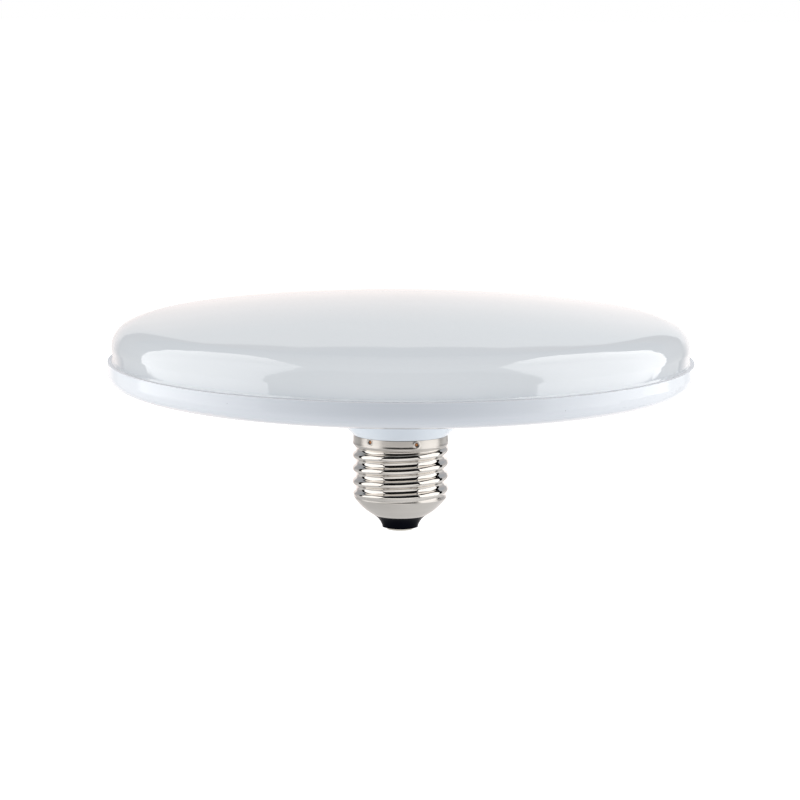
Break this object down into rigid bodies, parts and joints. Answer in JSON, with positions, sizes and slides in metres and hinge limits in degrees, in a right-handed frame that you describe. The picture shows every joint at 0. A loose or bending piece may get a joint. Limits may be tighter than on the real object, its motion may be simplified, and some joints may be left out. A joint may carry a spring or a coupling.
{
  "type": "led bulb",
  "caption": "Flat disc LED lamp: shallow opal dome on a wide white housing, short neck and a standard screw cap.",
  "frame": {"origin": "centre of the flat tip of the cap's centre contact", "axes": "+Z along the lamp's axis from the cap to the crown of the diffuser, +X to the right and +Y away from the viewer of the source picture"},
  "size_m": [0.16, 0.16, 0.0624],
  "materials": {
    "nickel_plate": "bright nickel plate",
    "contact_metal": "plain nickel-plated brass",
    "black_insulator": "smooth moulded",
    "white_housing": "glossy moulded",
    "opal_diffuser": "glossy opal",
    "plain_aluminium": "rolled sheet",
    "white_mask": "solder mask on aluminium",
    "phosphor": "silicone over phosphor",
    "zinc_steel": "zinc plated",
    "white_nylon": "moulded",
    "tinned_brass": "tin plated",
    "green_laminate": "solder mask on glass laminate",
    "dark_sleeve": "shrunk sleeve",
    "blue_coating": "dipped coating",
    "black_epoxy": "moulded epoxy",
    "yellow_case": "moulded case",
    "ferrite": "sintered",
    "copper_wire": "enamelled copper",
    "red_sleeve": "silicone insulation",
    "black_sleeve": "silicone insulation"
  },
  "bodies": {
    "root": {"centre_contact": "contact_metal", "cap_insulator": "black_insulator", "cap_shell": "nickel_plate", "housing": "white_housing", "diffuser": "opal_diffuser", "heat_spreader": "plain_aluminium", "led_board": "white_mask", "leds_outer_ring": "phosphor", "leds_middle_ring": "phosphor", "leds_inner_ring": "phosphor", "board_screws": "zinc_steel", "board_socket": "white_nylon", "dc_pins": "tinned_brass", "driver_board": "green_laminate", "bulk_capacitor": "dark_sleeve", "output_capacitor": "dark_sleeve", "fuse_resistor": "blue_coating", "bridge_rectifier": "black_epoxy", "driver_chip": "black_epoxy", "flyback_diode": "black_epoxy", "film_capacitor": "yellow_case", "choke_core": "ferrite", "choke_winding": "copper_wire", "live_lead": "red_sleeve", "neutral_lead": "black_sleeve"}
  },
  "joints": []
}
